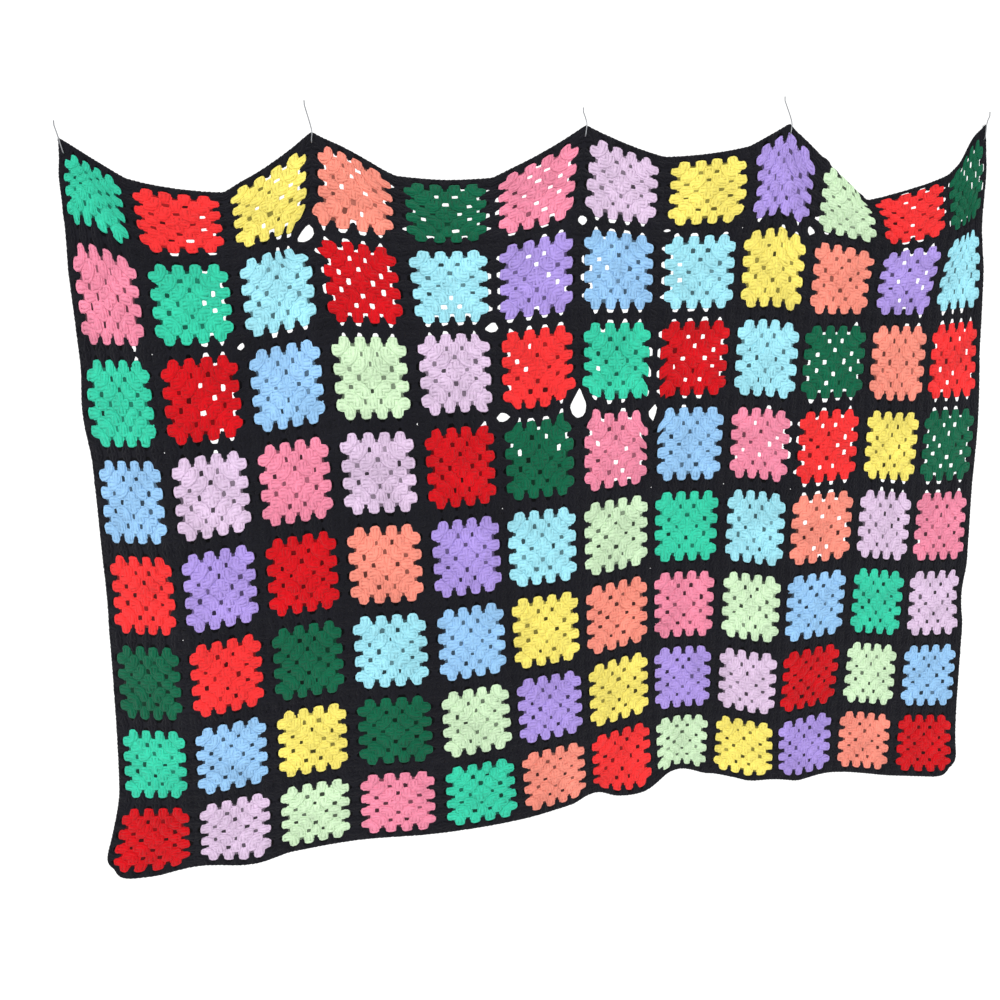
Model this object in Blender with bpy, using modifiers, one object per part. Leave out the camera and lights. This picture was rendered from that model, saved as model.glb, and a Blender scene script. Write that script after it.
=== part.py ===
"""Granny square blanket hung by its top edge from five wire hooks.

The blanket is 12 by 8 crocheted squares joined edge to edge. It is modelled flat, as a grid of squares
with the gaps of the crochet cut through it, and then hung: every point of the flat cloth has a place on
the hung cloth, which sags between its hooks, bellies out to the front and curls at the hem. Units are
metres, +Z is up, +X runs along the hooks, the front of the blanket looks along -Y, and the origin is the
cut end of the middle hook.
"""

import math
from collections import namedtuple

import bmesh
import bpy
from mathutils import Matrix, Vector

MM = 0.001

# The flat blanket, counted in squares: seam lines run from 0 to COLUMNS and row lines from 0 to ROWS.
SQUARE = 125 * MM
COLUMNS = 12
ROWS = 8
BORDER = 0.1  # width of a square's black last round, as a share of the square
THICKNESS = 4 * MM

# The gaps of the crochet, half their width and half their height on the flat cloth, in millimetres.
JUNCTION_GAP = (4.0, 4.0)  # where four squares meet
CENTRE_GAP = (4.5, 4.5)  # the ring at the start of a square
CORNER_GAP = (3.5, 3.5)  # the corner space between the coloured rounds and the black one
OPEN_ROWS = 2  # the upper rows, whose corner spaces the weight of the blanket has pulled open
# Junctions that have pulled open further, as (seam line, row line): (half width, half height).
STRAINED_JUNCTIONS = {
    (3, 1): (11, 8),
    (2, 2): (7, 6),
    (6, 1): (6, 7),
    (5, 2): (9, 6),
    (7, 1): (8, 3),
    (9, 1): (6, 8),
    (5, 3): (9, 6),
    (6, 3): (9, 11),
    (7, 3): (4, 11),
}

# The hung blanket: a row for each seam line, from the left edge to the right one, in millimetres. across
# is measured along +X and depth along +Y, both at the top edge, halfway down and at the hem; curl is what
# the hem's own curl adds to the depth, and length runs from the hook line down to the hem.
Seam = namedtuple(
    "Seam", "across_top across_middle across_hem depth_top depth_middle depth_hem curl length"
)
SEAMS = (
    Seam(-705, -692, -708, 0, 40, 70, 10, 1050),
    Seam(-615, -595, -605, 0, -40, 45, 0, 1038),
    Seam(-495, -485, -490, 0, -65, 0, 0, 1010),
    Seam(-385, -380, -380, 0, -100, -45, 0, 985),
    Seam(-265, -270, -260, 0, -115, -70, 0, 981),
    Seam(-130, -160, -140, 0, -100, -65, 0, 980),
    Seam(0, -45, -25, 0, -85, -40, 10, 980),
    Seam(125, 75, 85, 0, -50, 0, -15, 975),
    Seam(255, 195, 190, 0, -35, 5, 20, 990),
    Seam(380, 310, 305, 15, -20, 20, 5, 1025),
    Seam(480, 430, 415, 15, -10, 45, -5, 1025),
    Seam(585, 540, 535, 0, 5, 60, 0, 1055),
    Seam(655, 665, 648, 0, 40, 60, 0, 1078),
)
UPPER_STRETCH = 0.1  # the upper rows carry the lower ones and are longer
CURL_REACH = 1.2  # rows over which the hem's curl dies away
SAG_REACH = 1.0  # rows over which the sag of the top edge dies away
CORNER_TUCK = 0.14  # how far, in squares, the two corners of the hem are rounded
CORNER_REACH = 0.42
LEFT_FLARE, RIGHT_FLARE = -38, 24  # how far the two corners of the hem swing out, in millimetres
FLARE_REACH = 0.35  # rows over which that swing dies away

# A stretch of the top edge that has rolled over to the back: the seam lines from and to which it reaches,
# how many squares of cloth are rolled up in its middle, the roll's radius, and how far it lifts the edge.
ROLL_START, ROLL_END = 9.05, 9.95
ROLL_WIDTH = 0.19
ROLL_RADIUS = 7.0
ROLL_LIFT = 9.0
LIFT_REACH = 0.5  # rows over which the lift dies away

# A row for each hook, from left to right. seam is its place on the top edge, and aside and below are how
# far it draws the edge to the right and down there. end_across and end_above place its cut end from the
# point of the cloth that it holds up, and tip is how far its short strand rises behind the cloth.
Hook = namedtuple("Hook", "name seam aside below end_across end_above tip")
HOOKS = (
    Hook("hook_1", 0, 12, 14, -5, 24, 9),
    Hook("hook_2", 3, 10, 8, -7, 42, 9),
    Hook("hook_3", 6, 8, 2, -3, 26, 9),
    Hook("hook_4", 8.55, 0, 0, -8, 40, 9),
    Hook("hook_5", 12, -8, 5, 8, 21, 17),
)
MIDDLE_HOOK = HOOKS[2]
GATHER_REACH = 0.8  # squares round a hook in which it draws the cloth aside

# A row for each span of the top edge from one hook to the next: how deep it sags, and how far the lowest
# part leans towards the right hook. The top of each square stays nearly straight, and the edge turns at
# the seam lines.
Span = namedtuple("Span", "sag lean")
SPANS = (Span(84, 0.4), Span(78, 0.1), Span(49, 0.0), Span(105, -0.22))
STRAIGHT_TOPS = 0.6

# A row for each small pull of the cloth's own: where it is, how far it moves the cloth to the right and
# up, in millimetres, and how many squares away it has died.
Pull = namedtuple("Pull", "seam row right up reach")
PULLS = (
    Pull(0.35, 0.7, -6, 22, 0.67),
    Pull(0.6, 0.55, 0, 5, 0.5),
    Pull(0.0, 0.8, 6, 0, 0.5),
    Pull(0.5, 1.3, 0, 7, 0.9),
    Pull(1.2, 0.45, -5, 0, 0.8),
    Pull(1.5, 0.5, 0, -6, 0.5),
    Pull(3.5, 0.1, -5, 8, 0.5),
    Pull(3.5, 0.5, 0, 5, 0.5),
    Pull(3.6, 1.1, -5, 0, 0.8),
    Pull(4.5, 0.6, 0, -9, 0.7),
    Pull(7.6, 0.5, 7, 0, 0.9),
    Pull(8.1, 0.55, 8, 0, 0.6),
    Pull(8.93, 0.0, 0, 8, 0.36),
    Pull(9.3, 0.0, 0, 7, 0.45),
    Pull(9.5, 0.6, 0, -6, 0.5),
    Pull(10.0, 0.0, -21, -6, 0.6),
    Pull(10.0, 1.0, 8, -6, 0.6),
    Pull(10.5, 0.6, 0, -9, 0.6),
    Pull(11.6, 0.0, 0, 9, 0.4),
    Pull(11.0, 1.0, 13, 0, 0.8),
    Pull(12.0, 1.0, -7, 0, 0.6),
    Pull(6.5, 1.5, 0, 5, 0.6),
    Pull(7.5, 1.8, 4, 0, 0.8),
    Pull(10.5, 1.5, 4, -2, 0.6),
    Pull(11.5, 1.5, 0, 8, 0.8),
    Pull(0.0, 2.6, -5, 0, 0.5),
    Pull(4.5, 2.5, 0, 7, 0.7),
    Pull(10.5, 3.0, 0, -5, 0.9),
    Pull(12.0, 3.2, 4, 0, 0.9),
    Pull(8.5, 3.8, 0, 5, 0.8),
    Pull(0.5, 4.5, 5, 0, 0.7),
    Pull(12.0, 5.4, -6, 0, 0.45),
    Pull(8.5, 6.5, 0, -6, 0.7),
    Pull(9.5, 7.1, -5, 2, 0.9),
    Pull(0.0, 7.6, -8, 0, 0.8),
    Pull(1.0, 8.0, 0, 7, 0.45),
    Pull(1.75, 8.0, 0, -7, 0.45),
    Pull(6.05, 8.0, 0, 8, 0.35),
    Pull(6.7, 8.0, 0, -11, 0.6),
    Pull(7.4, 8.0, 0, 13, 0.6),
    Pull(7.5, 7.4, 0, 5, 0.5),
    Pull(9.0, 8.0, 0, 9, 0.45),
)

# The wire hooks and the gap of the black border that each passes through.
WIRE_RADIUS = 0.8 * MM
BEND_RADIUS = 4.2 * MM  # middle of the wire, round the strip of border that hangs on it
STRAIGHT_END = 6 * MM  # upright stretch below the cut end
HOOK_GAP_DEPTH = 0.12  # how far below the top edge the gap lies, in squares
HOOK_GAP_RADIUS = 3.5 * MM
HOOK_GAP_SIDES = 8
SEAT_DROP = 2.3 * MM  # the gap's upper wall lies this far below the middle of the wire's bend
BEND_STEPS = 8

YARN_COLOURS = {
    "green": "2FC79A",
    "red": "F53B3B",
    "yellow": "F7E36B",
    "coral": "F68A74",
    "dark_green": "1A6B4C",
    "pink": "EE86A4",
    "lilac": "DFC3E4",
    "purple": "AE97E0",
    "pale_green": "CDEFC0",
    "cyan": "98E2F0",
    "blue": "93C2F2",
    "dark_red": "CC1F2A",
}
BLACK_YARN = "201F22"
STEEL = "8D8F92"

# The colours of the squares, a line for each row from the top and a word for each column.
CHART = """
green red yellow coral dark_green pink lilac yellow purple pale_green red dark_green
pink green cyan dark_red cyan purple blue cyan yellow coral purple cyan
green dark_red blue pale_green lilac red green dark_red cyan dark_green coral red
blue lilac pink lilac dark_red dark_green pink blue pink red yellow dark_green
red purple dark_red coral purple cyan pale_green green cyan coral lilac pink
dark_green red dark_green cyan blue yellow coral pink pale_green blue green lilac
green blue yellow dark_green pale_green purple yellow purple lilac dark_red pale_green blue
dark_red lilac pale_green pink green coral red pale_green yellow purple coral dark_red
"""
SQUARE_COLOURS = [line.split() for line in CHART.strip().splitlines()]


# ---------------------------------------------------------------- the hung shape


def along_seams(name, seam):
    """One column of SEAMS at any place along the blanket, on a smooth curve through its thirteen values."""
    values = [getattr(row, name) for row in SEAMS]
    values = [2 * values[0] - values[1]] + values + [2 * values[-1] - values[-2]]
    first = min(max(int(math.floor(seam)), 0), COLUMNS - 1)
    t = seam - first
    before, start, end, after = values[first : first + 4]
    slope = end - before
    bend = 2 * before - 5 * start + 4 * end - after
    twist = 3 * (start - end) + after - before
    return start + 0.5 * t * (slope + t * (bend + t * twist))


def through_three(top, middle, hem, fall):
    """The parabola through a value at the top edge (fall 0), halfway down and at the hem (fall 1)."""
    upper = top * (1 - fall) * (1 - 2 * fall)
    lower = hem * fall * (2 * fall - 1)
    return upper + middle * 4 * fall * (1 - fall) + lower


def span_sag(seam, left, right, span):
    """The depth of a span's smooth sag at a place between its two hooks."""
    q = min(max((seam - left.seam) / (right.seam - left.seam), 0.0), 1.0)
    return span.sag * 4 * q * (1 - q) * (1 + span.lean * (2 * q - 1))


def edge_sag(seam):
    """How far the top edge lies below the hook line, in millimetres."""
    for left, right, span in zip(HOOKS, HOOKS[1:], SPANS):
        if left.seam <= seam <= right.seam:
            start = max(math.ceil(seam) - 1, left.seam)
            end = min(math.floor(start) + 1, right.seam)
            t = (seam - start) / (end - start)
            at_start, at_end = span_sag(start, left, right, span), span_sag(end, left, right, span)
            straight = at_start + (at_end - at_start) * t
            smooth = span_sag(seam, left, right, span)
            return smooth + (straight - smooth) * STRAIGHT_TOPS
    return 0.0


def gather(seam, row):
    """How far the hooks draw a point to the right and down, in millimetres."""
    aside = below = 0.0
    for hook in HOOKS:
        share = max(0.0, 1 - math.hypot(seam - hook.seam, row) / GATHER_REACH)
        aside += hook.aside * share
        below += hook.below * share
    return aside, below


def tuck_corner(seam, row):
    """Draws the two corners of the hem in, so that they are round."""
    right = seam > COLUMNS / 2
    aside = COLUMNS - seam if right else seam
    above = ROWS - row
    near = max(0.0, 1 - aside / CORNER_REACH) * max(0.0, 1 - above / CORNER_REACH)
    pull = CORNER_TUCK * near**2
    return (seam - pull if right else seam + pull), row - pull


def hem_flare(seam, row):
    """How far the hem's corners swing out, in millimetres."""
    left, right = max(0.0, 1 - seam), max(0.0, 1 - (COLUMNS - seam))
    return (LEFT_FLARE * left + RIGHT_FLARE * right) * math.exp((row - ROWS) / FLARE_REACH)


def small_pulls(seam, row):
    """How far the cloth's own small pulls move a point to the right and up, in millimetres."""
    right = up = 0.0
    for pull in PULLS:
        distance = math.hypot(seam - pull.seam, row - pull.row) / pull.reach
        share = max(0.0, 1 - distance**2) ** 2
        right += pull.right * share
        up += pull.up * share
    return right, up


def roll_share(seam):
    """How much of the roll's full width is rolled up at a place along the top edge."""
    t = min(max((seam - ROLL_START) / (ROLL_END - ROLL_START), 0.0), 1.0)
    return math.sin(math.pi * t)


def hung(seam, row):
    """Where a point of the flat blanket hangs, in millimetres from the hook line's middle."""
    seam, row = tuck_corner(seam, row)
    rolled = max(0.0, ROLL_WIDTH * roll_share(seam) - row)
    turned = rolled * SQUARE / MM / ROLL_RADIUS
    row += rolled
    fall = row / ROWS
    across = through_three(
        along_seams("across_top", seam),
        along_seams("across_middle", seam),
        along_seams("across_hem", seam),
        fall,
    )
    depth = through_three(
        along_seams("depth_top", seam),
        along_seams("depth_middle", seam),
        along_seams("depth_hem", seam),
        fall,
    )
    depth += along_seams("curl", seam) * math.exp((row - ROWS) / CURL_REACH)
    drop = along_seams("length", seam) * fall * (1 + UPPER_STRETCH * (1 - fall))
    drop += edge_sag(seam) * math.exp(-row / SAG_REACH)
    drop -= ROLL_LIFT * roll_share(seam) * math.exp(-row / LIFT_REACH)
    depth += ROLL_RADIUS * (1 - math.cos(turned))
    drop -= ROLL_RADIUS * math.sin(turned)
    across += hem_flare(seam, row)
    aside, below = gather(seam, row)
    right, up = small_pulls(seam, row)
    return Vector((across + aside + right, depth, up - drop - below))


def place(seam, row):
    """The same point in metres, from the cut end of the middle hook."""
    origin = hung(MIDDLE_HOOK.seam, 0) + Vector((MIDDLE_HOOK.end_across, 0, MIDDLE_HOOK.end_above))
    return (hung(seam, row) - origin) * MM


def front_of(seam, row):
    """The direction that the front of the cloth faces there."""
    step = 0.02
    sideways = place(seam + step, row) - place(seam - step, row)
    down = place(seam, row + step) - place(seam, row - step)
    return down.cross(sideways).normalized()


# ---------------------------------------------------------------- materials and collections


def linear(channel):
    """An sRGB channel from 0 to 1 as linear light."""
    return channel / 12.92 if channel <= 0.04045 else ((channel + 0.055) / 1.055) ** 2.4


def make_material(name, hex_colour, roughness, metallic):
    """A Principled material of one colour."""
    channels = [linear(int(hex_colour[i : i + 2], 16) / 255) for i in (0, 2, 4)]
    material = bpy.data.materials.new(name)
    material.use_nodes = True
    shader = material.node_tree.nodes["Principled BSDF"]
    shader.inputs["Base Color"].default_value = (*channels, 1)
    shader.inputs["Roughness"].default_value = roughness
    shader.inputs["Metallic"].default_value = metallic
    material.diffuse_color = (*channels, 1)
    return material


def make_collection(name):
    """A collection linked to the scene."""
    collection = bpy.data.collections.new(name)
    bpy.context.scene.collection.children.link(collection)
    return collection


# ---------------------------------------------------------------- the blanket


def grid_lines(count):
    """The lines that cut a row of squares into black borders and two halves of each coloured middle."""
    lines = [0.0]
    for square in range(count):
        lines += [square + BORDER, square + 0.5, square + 1 - BORDER, square + 1.0]
    return lines


def flat_sheet():
    """The flat blanket as a sheet of faces, in squares: x is the seam line and -y the row line."""
    sheet = bmesh.new()
    columns, rows = grid_lines(COLUMNS), grid_lines(ROWS)
    bmesh.ops.create_grid(sheet, x_segments=len(columns) - 1, y_segments=len(rows) - 1, size=0.5)
    for vert in sheet.verts:
        column = round((vert.co.x + 0.5) * (len(columns) - 1))
        row = round((0.5 - vert.co.y) * (len(rows) - 1))
        vert.co = Vector((columns[column], -rows[row], 0))
    return sheet


def gap_sizes():
    """Every gap of the crochet: its place on the flat blanket and its half width and half height."""
    gaps = {}
    for row in range(ROWS):
        for column in range(COLUMNS):
            gaps[column + 0.5, row + 0.5] = CENTRE_GAP
            if row < OPEN_ROWS:
                for aside in (BORDER, 1 - BORDER):
                    for below in (BORDER, 1 - BORDER):
                        gaps[column + aside, row + below] = CORNER_GAP
    for row in range(1, ROWS):
        for column in range(1, COLUMNS):
            gaps[column, row] = STRAINED_JUNCTIONS.get((column, row), JUNCTION_GAP)
    return gaps


def cut_gaps(sheet):
    """Opens each gap as a diamond: the point in its middle is spread along its four edges."""
    sheet.verts.ensure_lookup_table()
    for (seam, row), (half_width, half_height) in gap_sizes().items():
        middle = Vector((seam, -row, 0))
        vert = min(sheet.verts, key=lambda v: (v.co - middle).length_squared)
        opened = bmesh.ops.bevel(
            sheet, geom=[vert], offset=0.01, segments=1, profile=0.5, affect="VERTICES"
        )
        bmesh.ops.delete(sheet, geom=opened["faces"], context="FACES_ONLY")
        for corner in opened["verts"]:
            aside, up = corner.co.x - middle.x, corner.co.y - middle.y
            if abs(aside) > abs(up):
                corner.co.x = middle.x + math.copysign(half_width * MM / SQUARE, aside)
            else:
                corner.co.y = middle.y + math.copysign(half_height * MM / SQUARE, up)


def colour_faces(sheet, slots):
    """Gives each face the yarn of its square, and the black yarn where it lies in a border."""
    for face in sheet.faces:
        middle = face.calc_center_median()
        column, row = int(middle.x), int(-middle.y)
        edges = [min(part % 1, 1 - part % 1) for part in (middle.x, -middle.y)]
        colour = "black" if min(edges) < BORDER else SQUARE_COLOURS[row][column]
        face.material_index = slots.index(colour)


def make_hook_gap(hook, collection):
    """The cutter for the gap of the border that a hook passes through."""
    seat, up, front = hook_seat(hook)
    half_turn = math.pi / HOOK_GAP_SIDES  # turns a flat side of the cutter to the top
    bpy.ops.mesh.primitive_cylinder_add(
        vertices=HOOK_GAP_SIDES, radius=HOOK_GAP_RADIUS / math.cos(half_turn), depth=6 * THICKNESS
    )
    cutter = bpy.context.object
    cutter.name = hook.name + "_gap"
    side = front.cross(up)
    axes = Matrix((side, up, side.cross(up))).transposed()
    cutter.matrix_world = Matrix.Translation(seat) @ axes.to_4x4() @ Matrix.Rotation(half_turn, 4, "Z")
    cutter.hide_render = True
    cutter.display_type = "WIRE"
    for owner in list(cutter.users_collection):
        owner.objects.unlink(cutter)
    collection.objects.link(cutter)
    return cutter


def make_blanket(materials, parts, cutters):
    """The blanket: the flat sheet with its gaps, hung and given its thickness."""
    slots = ["black"] + list(YARN_COLOURS)
    sheet = flat_sheet()
    colour_faces(sheet, slots)
    cut_gaps(sheet)
    bmesh.ops.triangulate(sheet, faces=sheet.faces[:])
    for vert in sheet.verts:
        vert.co = place(vert.co.x, -vert.co.y)
    mesh = bpy.data.meshes.new("blanket")
    sheet.to_mesh(mesh)
    sheet.free()
    for slot in slots:
        mesh.materials.append(materials[slot])
    blanket = bpy.data.objects.new("blanket", mesh)
    parts.objects.link(blanket)
    thick = blanket.modifiers.new("thickness", "SOLIDIFY")
    thick.thickness = THICKNESS
    thick.offset = 0
    thick.use_even_offset = True
    for hook in HOOKS:
        cut = blanket.modifiers.new(hook.name + "_gap", "BOOLEAN")
        cut.operation = "DIFFERENCE"
        cut.solver = "EXACT"
        cut.object = make_hook_gap(hook, cutters)
    return blanket


# ---------------------------------------------------------------- the hooks


def hook_seat(hook):
    """The middle of a hook's gap in the border, the way up to the held point, and the cloth's front."""
    inset = HOOK_GAP_DEPTH / 2
    seam = min(max(hook.seam, inset), COLUMNS - inset)
    seat = place(seam, HOOK_GAP_DEPTH)
    front = front_of(seam, HOOK_GAP_DEPTH)
    up = place(hook.seam, 0) - seat
    up = (up - front * up.dot(front)).normalized()
    return seat, up, front


def smooth_route(points, steps):
    """Points along a smooth curve through the given ones."""
    padded = [2 * points[0] - points[1]] + points + [2 * points[-1] - points[-2]]
    route = []
    for before, start, end, after in zip(padded, padded[1:], padded[2:], padded[3:]):
        for step in range(steps):
            t = step / steps
            bend = 2 * before - 5 * start + 4 * end - after
            twist = 3 * (start - end) + after - before
            route.append(start + 0.5 * t * ((end - before) + t * (bend + t * twist)))
    return route + [points[-1]]


def hook_route(hook):
    """The middle line of a hook: upright cut end, shank, strand down the front, bend and strand up the back."""
    seat, up, front = hook_seat(hook)
    held = place(hook.seam, 0)
    end = held + Vector((hook.end_across, 0, hook.end_above)) * MM
    bend_centre = seat + up * (HOOK_GAP_RADIUS + SEAT_DROP)
    neck = held + up * 4 * MM + front * BEND_RADIUS * 0.8
    elbow = end - Vector((0, 0, STRAIGHT_END))
    shank = smooth_route([elbow, neck, bend_centre + front * BEND_RADIUS], 4)[1:-1]
    bend = []
    for step in range(BEND_STEPS + 1):
        turn = math.pi * step / BEND_STEPS
        bend.append(bend_centre + (front * math.cos(turn) - up * math.sin(turn)) * BEND_RADIUS)
    tip = bend[-1] + up * hook.tip * MM
    return [end, elbow] + shank + bend + [tip]


def make_hook(hook, material, parts):
    """A hook as a round wire along its route."""
    curve = bpy.data.curves.new(hook.name, "CURVE")
    curve.dimensions = "3D"
    curve.bevel_depth = WIRE_RADIUS
    curve.bevel_resolution = 2
    curve.use_fill_caps = True
    curve.materials.append(material)
    route = hook_route(hook)
    spline = curve.splines.new("POLY")
    spline.points.add(len(route) - 1)
    for point, position in zip(spline.points, route):
        point.co = (*position, 1)
    wire = bpy.data.objects.new(hook.name, curve)
    parts.objects.link(wire)
    return wire


def main():
    """Clears the scene and makes the blanket and its hooks."""
    for old in list(bpy.data.objects):
        bpy.data.objects.remove(old, do_unlink=True)
    parts = make_collection("granny_square_blanket")
    cutters = make_collection("cutters")
    materials = {"black": make_material("yarn_black", BLACK_YARN, 0.9, 0.0)}
    for name, code in YARN_COLOURS.items():
        materials[name] = make_material("yarn_" + name, code, 0.9, 0.0)
    steel = make_material("steel_wire", STEEL, 0.35, 1.0)
    make_blanket(materials, parts, cutters)
    for hook in HOOKS:
        make_hook(hook, steel, parts)


main()
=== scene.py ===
# %% [markdown]
# # A granny square blanket, hung from five wire hooks
#
# The blanket is crocheted from 96 granny squares, twelve across and eight down. Each square is four
# coloured rounds and a fifth round in black, which also joins it to its neighbours. Here the hung
# shape comes first, as a function that takes any place on the flat blanket to its place in the air.
# After that every stitch can be drawn flat, where crochet is regular, and be carried over by that one
# function. The solids of the frame have the same hung shape, so all that is made here fits them.

# %% Load the frame
import math
from collections import namedtuple

import bpy
import numpy as np
from mathutils import Matrix, Vector
from mathutils.geometry import delaunay_2d_cdt


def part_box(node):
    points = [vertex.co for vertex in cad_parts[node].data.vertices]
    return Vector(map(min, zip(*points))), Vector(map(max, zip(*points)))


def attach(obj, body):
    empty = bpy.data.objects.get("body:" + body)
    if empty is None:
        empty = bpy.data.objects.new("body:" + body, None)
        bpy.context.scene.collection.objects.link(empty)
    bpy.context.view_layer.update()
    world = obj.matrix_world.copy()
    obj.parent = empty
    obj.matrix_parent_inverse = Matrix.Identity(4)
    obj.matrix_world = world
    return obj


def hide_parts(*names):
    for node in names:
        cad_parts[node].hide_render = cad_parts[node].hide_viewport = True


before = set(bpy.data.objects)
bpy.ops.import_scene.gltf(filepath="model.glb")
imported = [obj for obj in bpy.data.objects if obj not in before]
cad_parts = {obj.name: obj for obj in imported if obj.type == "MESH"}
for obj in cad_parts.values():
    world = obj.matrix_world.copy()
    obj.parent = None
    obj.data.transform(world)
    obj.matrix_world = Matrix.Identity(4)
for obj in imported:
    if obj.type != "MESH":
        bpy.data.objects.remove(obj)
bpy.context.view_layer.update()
print("solids of the frame:", ", ".join(sorted(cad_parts)))

# %% [markdown]
# ## The camera
#
# The blanket is seen from the left of its middle and from below the hooks, by someone who looks
# slightly down and holds the camera almost level. The camera is placed in metres from the cut end of
# the middle hook, which is the origin of the frame, and turned by three plain angles.

# %% Place the camera
CAMERA_PLACE = Vector((-0.545, -1.662, -0.265))
TURN_TO_RIGHT = math.radians(13.59)
LOOK_DOWN = math.radians(9.31)
ROLL = math.radians(-2.38)
LENS, SENSOR = 43.2, 36  # millimetres

ahead = Vector(
    (
        math.sin(TURN_TO_RIGHT) * math.cos(LOOK_DOWN),
        math.cos(TURN_TO_RIGHT) * math.cos(LOOK_DOWN),
        -math.sin(LOOK_DOWN),
    )
)
level = Vector((math.cos(TURN_TO_RIGHT), -math.sin(TURN_TO_RIGHT), 0))
upward = level.cross(ahead)
rightward = level * math.cos(ROLL) + upward * math.sin(ROLL)
upward = upward * math.cos(ROLL) - level * math.sin(ROLL)

camera = bpy.data.objects.new("camera", bpy.data.cameras.new("camera"))
bpy.context.scene.collection.objects.link(camera)
turned = Matrix((rightward, upward, -ahead)).transposed().to_4x4()
camera.matrix_world = Matrix.Translation(CAMERA_PLACE) @ turned
camera.data.lens = LENS
camera.data.sensor_width = SENSOR
bpy.context.scene.camera = camera
print("camera at", tuple(round(part, 3) for part in CAMERA_PLACE), "with a", LENS, "mm lens")

# %% [markdown]
# ## The hung shape
#
# Cloth that hangs from five points sags between them, swings out in slow folds and curls at its hem.
# A cloth simulation could find such a shape, but it would find its own folds and not this blanket's.
# So the shape is a table: for each of the thirteen seam lines, how far across and how deep it lies at
# the top edge, halfway down and at the hem. Its values weren't designed by hand. A program fitted them
# to the places of this blanket's squares, with an even pitch assumed, and they were rounded to five
# millimetres and changed in a few places. Smooth curves run through these values both ways.
# The hooks then gather the cloth a little, and each span of the top edge sags between two hooks.
# Last come the small pulls that worn cloth has here and there.

# %% Sizes of the flat blanket and where its seam lines hang
MM = 0.001
SQUARE = 125.0  # millimetres, from seam to seam
COLUMNS, ROWS = 12, 8

# A row for each seam line from left to right, in millimetres: where it lies across and how deep, each at
# the top edge, halfway down and at the hem, how far the hem curls to the back, and how far down it hangs.
Seam = namedtuple(
    "Seam",
    "across_top across_middle across_hem depth_top depth_middle depth_hem curl length",
)
SEAMS = (
    Seam(-705, -692, -708, 0, 40, 70, 10, 1050),
    Seam(-615, -595, -605, 0, -40, 45, 0, 1038),
    Seam(-495, -485, -490, 0, -65, 0, 0, 1010),
    Seam(-385, -380, -380, 0, -100, -45, 0, 985),
    Seam(-265, -270, -260, 0, -115, -70, 0, 981),
    Seam(-130, -160, -140, 0, -100, -65, 0, 980),
    Seam(0, -45, -25, 0, -85, -40, 10, 980),
    Seam(125, 75, 85, 0, -50, 0, -15, 975),
    Seam(255, 195, 190, 0, -35, 5, 20, 990),
    Seam(380, 310, 305, 15, -20, 20, 5, 1025),
    Seam(480, 430, 415, 15, -10, 45, -5, 1025),
    Seam(585, 540, 535, 0, 5, 60, 0, 1055),
    Seam(655, 665, 648, 0, 40, 60, 0, 1078),
)
UPPER_STRETCH = 0.1  # the upper rows carry the lower ones and are longer
CURL_REACH = 1.2  # rows over which the hem's curl dies away
SAG_REACH = 1.0  # rows over which the sag of the top edge dies away
CORNER_TUCK, CORNER_REACH = 0.14, 0.42  # squares by which the hem's corners are drawn in, and how far
LEFT_FLARE, RIGHT_FLARE = -38, 24  # millimetres by which the hem's corners swing out
FLARE_REACH = 0.35  # rows over which that swing dies away
print(COLUMNS * ROWS, "squares of", SQUARE, "mm on", len(SEAMS), "seam lines")

# %% The rolled stretch of the top edge, the hooks and the sags
# A stretch of the top edge has rolled over to the back: the seam lines from and to which it reaches, how
# many squares of cloth are rolled up in its middle, the roll's radius, and how far it lifts the edge.
ROLL_START, ROLL_END = 9.05, 9.95
ROLL_WIDTH = 0.19
ROLL_RADIUS = 7.0
ROLL_LIFT = 9.0
LIFT_REACH = 0.5  # rows over which the lift dies away

# A row for each hook: its seam line, how far it draws the cloth aside and down, and where its cut end
# lies from there, in millimetres.
Hook = namedtuple("Hook", "name seam aside below end_across end_above")
HOOKS = (
    Hook("hook_1", 0, 12, 14, -5, 24),
    Hook("hook_2", 3, 10, 8, -7, 42),
    Hook("hook_3", 6, 8, 2, -3, 26),
    Hook("hook_4", 8.55, 0, 0, -8, 40),
    Hook("hook_5", 12, -8, 5, 8, 21),
)
MIDDLE_HOOK = HOOKS[2]
GATHER_REACH = 0.8  # squares round a hook in which it draws the cloth aside

# A row for each span between two hooks: how deep it sags, in millimetres, and to which side it leans.
Span = namedtuple("Span", "sag lean")
SPANS = (Span(84, 0.4), Span(78, 0.1), Span(49, 0.0), Span(105, -0.22))
STRAIGHT_TOPS = 0.6  # the top of a square stays nearly straight, and the edge turns at the seam lines
print(len(HOOKS), "hooks with", len(SPANS), "spans between them")

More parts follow.
